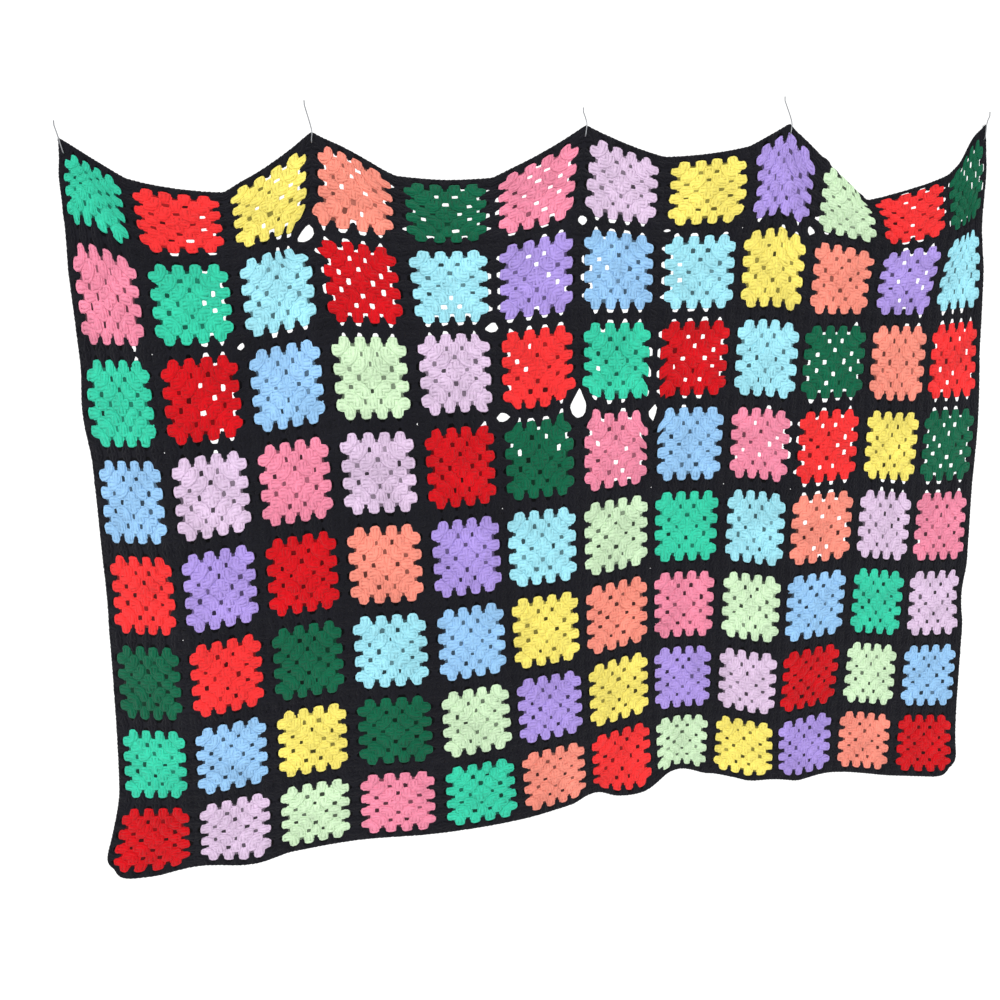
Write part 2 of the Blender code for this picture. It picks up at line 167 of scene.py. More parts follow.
# %% Small pulls
# A row for each small pull of the cloth's own: where it is, how far it moves the cloth to the right and
# up, in millimetres, and how many squares away it has died.
Pull = namedtuple("Pull", "seam row right up reach")
PULLS = (
    Pull(0.35, 0.7, -6, 22, 0.67),
    Pull(0.6, 0.55, 0, 5, 0.5),
    Pull(0.0, 0.8, 6, 0, 0.5),
    Pull(0.5, 1.3, 0, 7, 0.9),
    Pull(1.2, 0.45, -5, 0, 0.8),
    Pull(1.5, 0.5, 0, -6, 0.5),
    Pull(3.5, 0.1, -5, 8, 0.5),
    Pull(3.5, 0.5, 0, 5, 0.5),
    Pull(3.6, 1.1, -5, 0, 0.8),
    Pull(4.5, 0.6, 0, -9, 0.7),
    Pull(7.6, 0.5, 7, 0, 0.9),
    Pull(8.1, 0.55, 8, 0, 0.6),
    Pull(8.93, 0.0, 0, 8, 0.36),
    Pull(9.3, 0.0, 0, 7, 0.45),
    Pull(9.5, 0.6, 0, -6, 0.5),
    Pull(10.0, 0.0, -21, -6, 0.6),
    Pull(10.0, 1.0, 8, -6, 0.6),
    Pull(10.5, 0.6, 0, -9, 0.6),
    Pull(11.6, 0.0, 0, 9, 0.4),
    Pull(11.0, 1.0, 13, 0, 0.8),
    Pull(12.0, 1.0, -7, 0, 0.6),
    Pull(6.5, 1.5, 0, 5, 0.6),
    Pull(7.5, 1.8, 4, 0, 0.8),
    Pull(10.5, 1.5, 4, -2, 0.6),
    Pull(11.5, 1.5, 0, 8, 0.8),
    Pull(0.0, 2.6, -5, 0, 0.5),
    Pull(4.5, 2.5, 0, 7, 0.7),
    Pull(10.5, 3.0, 0, -5, 0.9),
    Pull(12.0, 3.2, 4, 0, 0.9),
    Pull(8.5, 3.8, 0, 5, 0.8),
    Pull(0.5, 4.5, 5, 0, 0.7),
    Pull(12.0, 5.4, -6, 0, 0.45),
    Pull(8.5, 6.5, 0, -6, 0.7),
    Pull(9.5, 7.1, -5, 2, 0.9),
    Pull(0.0, 7.6, -8, 0, 0.8),
    Pull(1.0, 8.0, 0, 7, 0.45),
    Pull(1.75, 8.0, 0, -7, 0.45),
    Pull(6.05, 8.0, 0, 8, 0.35),
    Pull(6.7, 8.0, 0, -11, 0.6),
    Pull(7.4, 8.0, 0, 13, 0.6),
    Pull(7.5, 7.4, 0, 5, 0.5),
    Pull(9.0, 8.0, 0, 9, 0.45),
)
print(len(PULLS), "small pulls")


# %% The curves through those values
def along_seams(name, seam):
    """One column of SEAMS at any places along the blanket, on a smooth curve through its values."""
    values = np.array([getattr(row, name) for row in SEAMS], float)
    values = np.concatenate(([2 * values[0] - values[1]], values, [2 * values[-1] - values[-2]]))
    first = np.clip(np.floor(seam).astype(int), 0, COLUMNS - 1)
    t = seam - first
    before, start, end, after = (values[first + step] for step in range(4))
    slope = end - before
    bend = 2 * before - 5 * start + 4 * end - after
    twist = 3 * (start - end) + after - before
    return start + 0.5 * t * (slope + t * (bend + t * twist))


def through_three(name, seam, fall):
    """The parabola through a value at the top edge (fall 0), halfway down and at the hem (fall 1)."""
    top, middle, hem = (along_seams(f"{name}_{place}", seam) for place in ("top", "middle", "hem"))
    upper = top * (1 - fall) * (1 - 2 * fall)
    lower = hem * fall * (2 * fall - 1)
    return upper + middle * 4 * fall * (1 - fall) + lower


seams = np.arange(COLUMNS + 1.0)
print("at half height the cloth lies", through_three("depth", seams, 0.5), "mm deep")


# %% Sags, corners and the roll
def smooth_sag(seam, left, right, span):
    """How far plain cloth would sag below the hook line at places between two hooks."""
    share = np.clip((seam - left.seam) / (right.seam - left.seam), 0, 1)
    return span.sag * 4 * share * (1 - share) * (1 + span.lean * (2 * share - 1))


def edge_sag(seam):
    """How far the top edge lies below the hook line: smooth sags, straightened over each square."""
    total = np.zeros_like(seam)
    for left, right, span in zip(HOOKS, HOOKS[1:], SPANS):
        start = np.maximum(np.ceil(seam) - 1, left.seam)
        end = np.minimum(np.floor(start) + 1, right.seam)
        inside = (seam > left.seam) & (seam <= right.seam)
        t = np.where(inside, (seam - start) / np.where(inside, end - start, 1), 0)
        smooth, at_start, at_end = (smooth_sag(place, left, right, span) for place in (seam, start, end))
        straight = at_start + (at_end - at_start) * t
        total = np.where(inside, smooth + (straight - smooth) * STRAIGHT_TOPS, total)
    return total


def hem_flare(seam, row):
    """How far the hem's corners swing out."""
    left, right = np.clip(1 - seam, 0, None), np.clip(1 - (COLUMNS - seam), 0, None)
    return (LEFT_FLARE * left + RIGHT_FLARE * right) * np.exp((row - ROWS) / FLARE_REACH)


def roll_share(seam):
    """How much of the roll's full width is rolled up at places along the top edge."""
    return np.sin(math.pi * np.clip((seam - ROLL_START) / (ROLL_END - ROLL_START), 0, 1))


def round_corners(seam, row):
    """Draws flat places near the hem's two corners in, so that the corners are round."""
    right = seam > COLUMNS / 2
    from_side = np.where(right, COLUMNS - seam, seam)
    near_side = np.clip(1 - from_side / CORNER_REACH, 0, None)
    near_hem = np.clip(1 - (ROWS - row) / CORNER_REACH, 0, None)
    tuck = CORNER_TUCK * near_side**2 * near_hem**2
    return seam + np.where(right, -tuck, tuck), row - tuck


print("the top edge sags by up to", round(edge_sag(np.linspace(0, COLUMNS, 241)).max()), "mm")


# %% Where any place of the flat blanket hangs
def hung(seam, row):
    """Where points of the flat blanket hang, in millimetres from the middle of the hook line."""
    seam, row = round_corners(seam, row)
    rolled = np.clip(ROLL_WIDTH * roll_share(seam) - row, 0, None)
    turned = rolled * SQUARE / ROLL_RADIUS
    row = row + rolled
    fall = row / ROWS
    across = through_three("across", seam, fall)
    depth = through_three("depth", seam, fall)
    depth = depth + along_seams("curl", seam) * np.exp((row - ROWS) / CURL_REACH)
    drop = along_seams("length", seam) * fall * (1 + UPPER_STRETCH * (1 - fall))
    drop = drop + edge_sag(seam) * np.exp(-row / SAG_REACH)
    drop = drop - ROLL_LIFT * roll_share(seam) * np.exp(-row / LIFT_REACH)
    depth = depth + ROLL_RADIUS * (1 - np.cos(turned))
    drop = drop - ROLL_RADIUS * np.sin(turned)
    across = across + hem_flare(seam, row)
    for hook in HOOKS:
        share = np.clip(1 - np.hypot(seam - hook.seam, row) / GATHER_REACH, 0, None)
        across = across + hook.aside * share
        drop = drop + hook.below * share
    for pull in PULLS:
        share = np.clip(1 - np.hypot(seam - pull.seam, row - pull.row) ** 2 / pull.reach**2, 0, None) ** 2
        across = across + pull.right * share
        drop = drop - pull.up * share
    return np.stack((across, depth, -drop), axis=-1)


# The frame's origin is the cut end of the middle hook.
middle_bend = hung(np.array(float(MIDDLE_HOOK.seam)), np.array(0.0))
ORIGIN = middle_bend + np.array([MIDDLE_HOOK.end_across, 0, MIDDLE_HOOK.end_above])
SLANT_STEP = 0.02  # squares to each side of a place over which the cloth's slant is measured


def carry(seam, row, proud):
    """Takes flat places, so many millimetres proud of the cloth's middle, to points of the frame."""
    sideways = hung(seam + SLANT_STEP, row) - hung(seam - SLANT_STEP, row)
    down = hung(seam, row + SLANT_STEP) - hung(seam, row - SLANT_STEP)
    front = np.cross(down, sideways)
    front /= np.linalg.norm(front, axis=-1, keepdims=True)
    return (hung(seam, row) - ORIGIN + front * proud[..., None]) * MM


corner = carry(np.array(0.0), np.array(0.0), np.array(0.0))
print("top left corner of the cloth at", corner.round(3))

# %% [markdown]
# ## Gaps that have pulled open
#
# Where four squares meet, the joining thread has given way in a few places, and the blanket's weight
# has pulled a hole there. Such a hole pushes the stitches round it apart. Each is given as a teardrop
# with its own length, width and tilt, and everything near it moves outwards: a point in the middle of
# the hole lands on the teardrop's edge, and the push dies away within about two widths.

# %% Push the crochet apart round each open junction
# A row for each open junction: the seam line and row line that cross there, half its length and half
# its width in millimetres, the direction of its narrow end in degrees from the right, how much narrower
# that end is, and how far the hole has slipped that way from the junction.
Opening = namedtuple("Opening", "seam row half_length half_width toward taper slip")
OPENINGS = (
    Opening(3, 1, 17, 8.5, 197, 0.5, 13),
    Opening(2, 2, 9, 3.3, 215, 0.3, 2),
    Opening(6, 1, 7, 6, 20, 0.2, 6),
    Opening(5, 2, 11, 6.5, 190, 0.7, 6),
    Opening(7, 1, 7, 1.8, 5, 0.0, 10),
    Opening(9, 1, 7.5, 6, 120, 0.6, 6),
    Opening(5, 3, 11, 6, 0, 0.4, 8),
    Opening(6, 3, 22, 12, 85, 0.8, 8),
    Opening(7, 3, 22, 6, 265, 0.8, 14),
)
PUSH_FADE = 3.0  # a higher power keeps the push nearer to the hole
PUSH_REACH = 5.0  # teardrops from the middle at which nothing moves any more


def push_apart(seam, row):
    """Moves flat places out of the openings."""
    for opening in OPENINGS:
        turn = math.radians(opening.toward)
        right, up = (seam - opening.seam) * SQUARE, (opening.row - row) * SQUARE
        along = (right * math.cos(turn) + up * math.sin(turn)) / opening.half_length
        aside = (up * math.cos(turn) - right * math.sin(turn)) / opening.half_width
        reach = np.maximum(np.hypot(along, aside), 1e-3)
        grown = (reach**PUSH_FADE + 1) ** (1 / PUSH_FADE) / reach
        near = reach < PUSH_REACH
        narrowing = 1 - opening.taper * np.clip(along * grown, -1, 1) * np.clip(2 - reach, 0, 1)
        new_along = along * grown * opening.half_length + opening.slip * np.clip(2 - reach / 2, 0, 1)
        new_aside = aside * grown * opening.half_width * narrowing
        right = new_along * math.cos(turn) - new_aside * math.sin(turn)
        up = new_along * math.sin(turn) + new_aside * math.cos(turn)
        seam = np.where(near, opening.seam + right / SQUARE, seam)
        row = np.where(near, opening.row - up / SQUARE, row)
    return seam, row


print(len(OPENINGS), "junctions have pulled open")

# %% Draw some joins tight
# A row for each stretch of a seam that is joined tighter than the rest, mostly in the folds of the right
# half: the seam, the row lines where the stretch starts and ends, and how many millimetres narrower the
# black band is there. The coloured rounds on both sides give way and take up what it loses.
Tight = namedtuple("Tight", "seam start end less")
TIGHT_JOINS = (
    Tight(5, 4.0, 8.0, 4.0),
    Tight(6, 4.0, 8.0, 3.5),
    Tight(7, 4.0, 8.0, 4.5),
    Tight(8, 1.0, 3.5, 3.5),
    Tight(9, 2.0, 3.0, 7.0),
    Tight(9, 4.0, 8.0, 5.0),
    Tight(10, 2.0, 3.0, 4.0),
    Tight(10, 4.0, 5.0, 3.0),
    Tight(11, 0.0, 1.0, 5.0),
    Tight(11, 2.0, 5.5, 4.5),
)
TIGHT_REACH = 0.25  # squares from the seam at which nothing moves any more
TIGHT_FADE = 0.4  # squares along the seam in which the tightness comes and goes
TIGHT_PEAK = 3.5  # makes the greatest move of the curve below equal to one


def on_blanket(column, row, x, y):
    """The seam line and row line of a place that lies right and up from the middle of a square."""
    return column + 0.5 + x / SQUARE, row + 0.5 - y / SQUARE


def draw_tight(seam, row):
    """Moves flat places towards the seams that are joined tight."""
    for tight in TIGHT_JOINS:
        comes = np.clip((row - tight.start) / TIGHT_FADE + 0.5, 0, 1)
        goes = np.clip((tight.end - row) / TIGHT_FADE + 0.5, 0, 1)
        away = np.clip((seam - tight.seam) / TIGHT_REACH, -1, 1)
        move = TIGHT_PEAK * away * (1 - away**2) ** 2
        seam = seam - move * comes * goes * tight.less / 2 / SQUARE
    return seam, row


def hang(column, row, x, y, proud):
    """Hangs flat places, given in millimetres to the right and up from the middle of their square."""
    seam, line = push_apart(*draw_tight(*on_blanket(column, row, x, y)))
    return carry(seam, line, proud)


print(len(TIGHT_JOINS), "stretches of seam are tight")

# %% [markdown]
# ## Colours
#
# The squares follow no rule: the maker used twelve colours as the yarn came to hand. The chart is a
# word for each square, a line for each row from the top. All colours are written as sRGB hex values,
# as on a yarn card, and one function turns them to the linear light that the shaders need. The twelve
# yarns' values were worked out by a program, so that each yarn looks as measured under this light.

# %% The yarn card and the chart
YARN_CARD = {
    "green": "37CFA9",
    "red": "F73435",
    "yellow": "FAE972",
    "coral": "FB9582",
    "dark_green": "0B6445",
    "pink": "F38EA9",
    "lilac": "E0C6E3",
    "purple": "AF98E3",
    "pale_green": "D2EEC6",
    "cyan": "A3E6F4",
    "blue": "99C9F3",
    "dark_red": "D30C18",
}
BLACK = "1A1A20"

CHART = """
green red yellow coral dark_green pink lilac yellow purple pale_green red dark_green
pink green cyan dark_red cyan purple blue cyan yellow coral purple cyan
green dark_red blue pale_green lilac red green dark_red cyan dark_green coral red
blue lilac pink lilac dark_red dark_green pink blue pink red yellow dark_green
red purple dark_red coral purple cyan pale_green green cyan coral lilac pink
dark_green red dark_green cyan blue yellow coral pink pale_green blue green lilac
green blue yellow dark_green pale_green purple yellow purple lilac dark_red pale_green blue
dark_red lilac pale_green pink green coral red pale_green yellow purple coral dark_red
"""
square_colours = [word for line in CHART.strip().splitlines() for word in line.split()]


def linear(hex_colour):
    """An sRGB hex colour as linear red, green, blue and alpha."""
    channels = [int(hex_colour[start : start + 2], 16) / 255 for start in (0, 2, 4)]
    return (*(c / 12.92 if c <= 0.04045 else ((c + 0.055) / 1.055) ** 2.4 for c in channels), 1.0)


for colour in YARN_CARD:
    print(f"{colour:>10}: {square_colours.count(colour)} squares")

# %% [markdown]
# ## Acrylic yarn
#
# The yarn is double knitting acrylic: four soft plies spun together, about 3 mm thick when it is not
# squeezed. Acrylic is matt and brushed up by wear, so light slides off it without a highlight and a
# thin fuzz catches light at its edges. The plies run round each strand like the stripes of a barber's
# pole, 5 mm for a full turn, and are raised with a bump. The fuzz is a sheen with a fine, uneven bump.
# Two noises vary the colour: a slow one for wear and a fast one for the loops' own light and shade.
# The ground, which comes last, darkens the yarn's colour in closed gaps: that is painted shade.


# %% A function that adds a node, and the yarn's measures
def add_node(tree, kind, inputs=None, **settings):
    """Adds a node, sets its settings, and sets or links its inputs."""
    node = tree.nodes.new(kind)
    for name, value in settings.items():
        setattr(node, name, value)
    for name, value in (inputs or {}).items():
        if isinstance(value, bpy.types.NodeSocket):
            tree.links.new(value, node.inputs[name])
        else:
            node.inputs[name].default_value = value
    return node


PLIES = 4
PLY_TURN = 5.0  # millimetres of strand for one turn of a ply
PLY_HEIGHT = 0.6 * MM
FUZZ_GRAIN, FUZZ_HEIGHT = 0.8 * MM, 0.5 * MM
FUZZ_SHEEN, BLACK_FUZZ_SHEEN = 0.06, 0.03
WEAR_PATCH = 45.45 * MM  # across a patch of wear
LOOP_SHADE = 3.846 * MM  # from the light side of one loop to that of the next
# From the two noises' sum (wear and painted loop shade) and the ground's painted gap shade to a share of
# colour.
TONES = {"From Min": 0.7, "From Max": 1.3, "To Min": 0.74, "To Max": 1.06}
GAP_SHADE_TONES = {"From Min": 0.0, "From Max": 1.0, "To Min": 1.0, "To Max": 0.05}
print(PLIES, "plies turn once in", PLY_TURN, "mm")


# %% The yarn material, and a yarn of each colour
def acrylic_yarn(name, hex_colour, fuzz):
    """Matt four-ply acrylic yarn of one colour."""
    material = bpy.data.materials.new(name)
    material.use_nodes = True
    tree = material.node_tree
    shader = tree.nodes["Principled BSDF"]
    place = add_node(tree, "ShaderNodeTexCoord").outputs["Object"]
    strand = add_node(tree, "ShaderNodeUVMap", uv_map="strand").outputs["UV"]

    wear = add_node(tree, "ShaderNodeTexNoise", {"Vector": place, "Scale": 1 / WEAR_PATCH, "Detail": 2.0})
    # The slow noise is wear; the fast one is painted light and shade of the loops.
    loops = add_node(tree, "ShaderNodeTexNoise", {"Vector": place, "Scale": 1 / LOOP_SHADE, "Detail": 3.0})
    wear_and_loop_shade = add_node(tree, "ShaderNodeMath", {0: wear.outputs[0], 1: loops.outputs[0]}, operation="ADD")
    tone = add_node(tree, "ShaderNodeMapRange", {"Value": wear_and_loop_shade.outputs[0], **TONES})
    # Painted shade: the ground's depth value darkens the colour of closed gaps to as little as 0.05 of the
    # yarn's.
    depth = add_node(tree, "ShaderNodeAttribute", attribute_name="depth").outputs["Fac"]
    painted_gap_shade = add_node(tree, "ShaderNodeMapRange", {"Value": depth, **GAP_SHADE_TONES})
    light = add_node(tree, "ShaderNodeMath", {0: tone.outputs[0], 1: painted_gap_shade.outputs[0]}, operation="MULTIPLY")
    colour = add_node(
        tree,
        "ShaderNodeVectorMath",
        {0: linear(hex_colour)[:3], "Scale": light.outputs[0]},
        operation="SCALE",
    )
    tree.links.new(colour.outputs["Vector"], shader.inputs["Base Color"])

    plies = add_node(
        tree,
        "ShaderNodeTexWave",
        {"Vector": strand, "Scale": 1.0, "Distortion": 0.6, "Detail": 1.0},
        wave_type="BANDS",
        bands_direction="X",
    )
    ply_bump = add_node(
        tree,
        "ShaderNodeBump",
        {"Height": plies.outputs["Fac"], "Strength": 0.5, "Distance": PLY_HEIGHT},
    )
    fluff = add_node(
        tree,
        "ShaderNodeTexNoise",
        {"Vector": place, "Scale": 1 / FUZZ_GRAIN, "Detail": 2.0, "Roughness": 0.7},
    )
    fluff_bump = add_node(
        tree,
        "ShaderNodeBump",
        {
            "Height": fluff.outputs["Fac"],
            "Strength": 0.5,
            "Distance": FUZZ_HEIGHT,
            "Normal": ply_bump.outputs["Normal"],
        },
    )
    tree.links.new(fluff_bump.outputs["Normal"], shader.inputs["Normal"])
    shader.inputs["Roughness"].default_value = 0.95
    shader.inputs["Specular IOR Level"].default_value = 0.05
    shader.inputs["Sheen Weight"].default_value = fuzz
    shader.inputs["Sheen Roughness"].default_value = 0.6
    return material


yarns = {}
for colour, value in YARN_CARD.items():
    yarns[colour] = acrylic_yarn(f"acrylic_yarn_{colour}", value, FUZZ_SHEEN)
yarns["black"] = acrylic_yarn("acrylic_yarn_black", BLACK, BLACK_FUZZ_SHEEN)
print(len(yarns), "yarns spun")

# %% [markdown]
# ## A square as it is worked
#
# A granny square starts from a ring with four clusters of three tall stitches. Each later round puts
# its clusters into the spaces of the round before, and two into each corner, so round n has n clusters
# on each side. All clusters have the same pitch, a little less than a fifth of the square, and a round
# is somewhat deeper than half a pitch. A stitch is a short fat strand that leans out like the rib of a
# fan, and the middle one of a cluster is the fullest. The loops at the heads of the three lie across
# them as one bar, which gives the cluster its broad end.
#
# A stitch is drawn in the flat from three points and their widths, and the bar from four. Numpy
# arrays hold all squares at once, so the few random numbers for each stitch cost nothing.

# %% Where each cluster of a square sits
ROUNDS = 5
ROUND_DEPTH = 13.1  # millimetres; the black round is drawn tighter and gets what is left
COLOURED_HALF = (ROUNDS - 1) * ROUND_DEPTH  # from a square's middle to its black round
PITCH = 23.0  # millimetres from cluster to cluster along a side

# One entry for each cluster: its round, its side (a quarter turn each), its place along the side, and
# -1 or 1 if it is the first or the last there, in a corner, and 0 if it isn't.
Cluster = namedtuple("Cluster", "round side along corner")
clusters = []
for number in range(1, ROUNDS + 1):
    for side in range(4):
        for index in range(number):
            along = (index - (number - 1) / 2) * PITCH
            corner = 0 if number == 1 else (index == number - 1) - (index == 0)
            clusters.append(Cluster(number, side, along, corner))
print(len(clusters), "clusters in a square")

# %% Arrays of all clusters, and the unevenness of a hand
square_count = COLUMNS * ROWS
cluster_rounds, cluster_sides, cluster_along, cluster_corner = (np.array(part) for part in zip(*clusters))
inner_edge = (cluster_rounds - 1) * ROUND_DEPTH
cluster_turn = cluster_sides * math.pi / 2


def strands_on_side(along, out, proud):
    """Turns strands that are drawn on the top side of a square to the side of their cluster."""
    turn = cluster_turn.reshape((1, -1) + (1,) * (along.ndim - 2))
    x = along * np.cos(turn) + out * np.sin(turn)
    y = out * np.cos(turn) - along * np.sin(turn)
    return np.stack((x, y, proud + np.zeros_like(x)), axis=-1)


# How uneven the work is: places of clusters, stitches and loops in millimetres, and widths as a share.
UNEVEN_CLUSTER = 0.6
UNEVEN_ALONG, UNEVEN_OUT, UNEVEN_PROUD = 0.3, 0.35, 0.25
UNEVEN_LOOP_OUT, UNEVEN_LOOP_PROUD = 0.3, 0.2
UNEVEN_WIDTH = 0.06
dice = np.random.default_rng(12)


def jitter(size, shape):
    """Small random numbers, because no hand works two stitches alike."""
    return dice.normal(0, size, shape)


cluster_shift = jitter(UNEVEN_CLUSTER, (square_count, len(clusters), 1))
print("clusters are up to", round(float(abs(cluster_shift).max()), 1), "mm off their places")

# %% The points of a stitch and of its bar
# A stitch's three points: how far its strand is from the middle of its cluster for the outer two of the
# three stitches, how far out of the previous round, how far proud, and its half width there. The black
# round is worked tighter: its feet are squeezed between the coloured heads, and then it fans out.
Point = namedtuple("Point", "spread out proud half_width")
STITCH = (
    Point(2.4, -3.0, -0.3, 2.2),
    Point(4.5, 4.4, 0.4, 2.7),
    Point(5.2, 11.1, 0.2, 2.4),
)
JOINING_STITCH = (
    Point(1.2, -6.0, -0.2, 1.8),
    Point(3.3, 2.4, 0.2, 2.3),
    Point(6.6, 8.2, 0.2, 2.9),
)
BAR = (
    Point(-6.1, 11.5, 0.2, 1.9),
    Point(-2.6, 12.6, 0.4, 2.3),
    Point(2.6, 12.6, 0.4, 2.3),
    Point(6.1, 11.5, 0.2, 1.9),
)
JOINING_BAR = (
    Point(-7.4, 8.8, 0.1, 2.0),
    Point(-2.6, 9.3, 0.3, 2.1),
    Point(2.6, 9.3, 0.3, 2.1),
    Point(7.4, 8.8, 0.1, 2.0),
)
print("a stitch has", len(STITCH), "points and a bar", len(BAR))

# %% The strands of every square, drawn flat
RING_RADIUS = 1.0  # millimetres; the first round's feet stand on this ring
CORNER_FOOT = 2.6  # millimetres by which a corner cluster's foot is drawn towards the corner
MIDDLE_LEADS = (1.2, 1.2, 0.5)  # millimetres by which the middle stitch's three points are further out
MIDDLE_SWELL = 0.45  # share by which the middle stitch of a cluster is fuller than its neighbours
JOINING_FAN = 0.12  # share by which the black round's heads are further from the middle than its feet

joins = cluster_rounds == ROUNDS
lean = cluster_along * np.where(joins, JOINING_FAN, 0)
foot_lean = cluster_corner * CORNER_FOOT
ribs = np.array([-1.0, 0.0, 1.0])
per_cluster = (square_count, len(clusters))
per_stitch = (*per_cluster, len(ribs))


def by_round(coloured, joining, quantity):
    """A point's quantity for every cluster: the coloured rounds' value or the black round's."""
    return np.where(joins, getattr(joining, quantity), getattr(coloured, quantity))


stitch_points, stitch_widths = [], []
for number, (coloured, joining) in enumerate(zip(STITCH, JOINING_STITCH)):
    spread, out, proud, half_width = (
        by_round(coloured, joining, quantity)[None, :, None] for quantity in Point._fields
    )
    shift = cluster_along + (foot_lean if number == 0 else lean)
    along = shift[None, :, None] + spread * ribs + cluster_shift + jitter(UNEVEN_ALONG, per_stitch)
    out = np.maximum(inner_edge[None, :, None] + out, RING_RADIUS) + jitter(UNEVEN_OUT, per_stitch)
    out = out - MIDDLE_LEADS[number] * abs(ribs)
    proud = proud + jitter(UNEVEN_PROUD, per_stitch)
    stitch_points.append(strands_on_side(along, out, proud))
    fullness = 1 + MIDDLE_SWELL * (ribs == 0)
    stitch_widths.append(half_width * fullness * (1 + jitter(UNEVEN_WIDTH, per_stitch)))
stitch_points = np.stack(stitch_points, axis=3)
stitch_widths = np.stack(stitch_widths, axis=3)

bar_points, bar_widths = [], []
for coloured, joining in zip(BAR, JOINING_BAR):
    spread, out, proud, half_width = (by_round(coloured, joining, quantity) for quantity in Point._fields)
    along = cluster_along + lean + spread + cluster_shift[..., 0]
    out = inner_edge + out + jitter(UNEVEN_LOOP_OUT, per_cluster)
    proud = proud + jitter(UNEVEN_LOOP_PROUD, per_cluster)
    bar_points.append(strands_on_side(along, out, proud))
    bar_widths.append(half_width * (1 + jitter(UNEVEN_WIDTH, per_cluster)))
bar_points = np.stack(bar_points, axis=2)
bar_widths = np.stack(bar_widths, axis=2)
print(stitch_points[..., 0, 0].size, "stitches and", bar_points[..., 0, 0].size, "bars of loops")

# %% [markdown]
# ## From drawn strands to meshes
#
# A strand's mesh is a tube of five sides with a point at each end. Its rings are laid out in the flat,
# each across the strand's own direction, and then all points are pushed apart round the openings and
# carried to the hung shape. A UV map holds the millimetres along the strand and the way round it, for
# the plies. Each colour of yarn becomes one mesh, and the black one is split into four bands.

# %% Tubes of five sides
SIDES = 5
FLATNESS = 0.38  # a strand's thickness as a share of its width, because worn strands are flat
TIP = 0.8  # how far a strand's pointed end reaches, in half widths
TIP_RUN = 1  # millimetres of ply that the point shows


def tube_mesh(points, widths):
    """Flat places of the tubes' points, their faces, and the strand coordinates of the faces' corners."""
    count, rings = widths.shape
    heading = np.gradient(points, axis=1)
    heading[..., 2] = 0
    heading /= np.linalg.norm(heading, axis=-1, keepdims=True) + 1e-9
    across = np.stack((heading[..., 1], -heading[..., 0], np.zeros_like(widths)), axis=-1)
    angle = np.arange(SIDES) * 2 * math.pi / SIDES + math.pi / 2
    outward = np.array([0.0, 0.0, 1.0])
    body = (
        points[:, :, None]
        + across[:, :, None] * (widths[..., None] * np.cos(angle))[..., None]
        + outward * (widths[..., None] * np.sin(angle) * FLATNESS)[..., None]
    ).reshape(count, -1, 3)
    first = points[:, 0] - heading[:, 0] * widths[:, :1] * TIP
    last = points[:, -1] + heading[:, -1] * widths[:, -1:] * TIP
    places = np.concatenate((body, first[:, None], last[:, None]), axis=1)

    length = np.linalg.norm(np.diff(points, axis=1), axis=-1).sum(1).mean()
    run = np.linspace(0, length, rings)
    quads, quad_strand, caps, cap_strand = [], [], [], []
    for ring, (start, end) in enumerate(zip(run, run[1:])):
        low, high = ring * SIDES, (ring + 1) * SIDES
        for side in range(SIDES):
            after = (side + 1) % SIDES
            here, there = side / SIDES, (side + 1) / SIDES
            quads.append((low + side, low + after, high + after, high + side))
            quad_strand.append(((start, here), (start, there), (end, there), (end, here)))
    tip, top = rings * SIDES, (rings - 1) * SIDES
    for side in range(SIDES):
        after = (side + 1) % SIDES
        here, there = side / SIDES, (side + 1) / SIDES
        caps.append((tip, after, side))
        cap_strand.append(((run[0] - TIP_RUN, here), (run[0], there), (run[0], here)))
        caps.append((tip + 1, top + side, top + after))
        cap_strand.append(((run[-1] + TIP_RUN, here), (run[-1], here), (run[-1], there)))
    steps = np.arange(count)[:, None, None] * places.shape[1]
    quads = (np.array(quads)[None] + steps).reshape(-1, 4)
    caps = (np.array(caps)[None] + steps).reshape(-1, 3)
    quad_strand = np.tile(np.array(quad_strand).reshape(-1, 2), (count, 1))
    cap_strand = np.tile(np.array(cap_strand).reshape(-1, 2), (count, 1))
    return places, [(quads, quad_strand), (caps, cap_strand)]


print("a strand of three points has", 3 * SIDES + 2, "points in its mesh")


# %% Meshes of stitches, one for each colour, and the black ones in bands
def add_mesh(name, points, face_groups, materials, material_index=None):
    """A smooth mesh object from arrays of points and groups of like faces."""
    mesh = bpy.data.meshes.new(name)
    corners = np.concatenate([faces.ravel() for faces, _ in face_groups])
    sizes = np.concatenate([np.full(len(faces), faces.shape[1]) for faces, _ in face_groups])
    mesh.vertices.add(len(points))
    mesh.vertices.foreach_set("co", points.astype(np.float32).ravel())
    mesh.loops.add(len(corners))
    mesh.loops.foreach_set("vertex_index", corners.astype(np.int32))
    mesh.polygons.add(len(sizes))
    mesh.polygons.foreach_set("loop_start", (np.cumsum(sizes) - sizes).astype(np.int32))
    if material_index is not None:
        mesh.polygons.foreach_set("material_index", material_index.astype(np.int32))
    strand = mesh.uv_layers.new(name="strand")
    strand.data.foreach_set("uv", np.concatenate([uv for _, uv in face_groups]).astype(np.float32).ravel())
    for material in materials:
        mesh.materials.append(material)
    mesh.update(calc_edges=True)
    mesh.shade_smooth()
    piece = bpy.data.objects.new(name, mesh)
    bpy.context.scene.collection.objects.link(piece)
    return piece


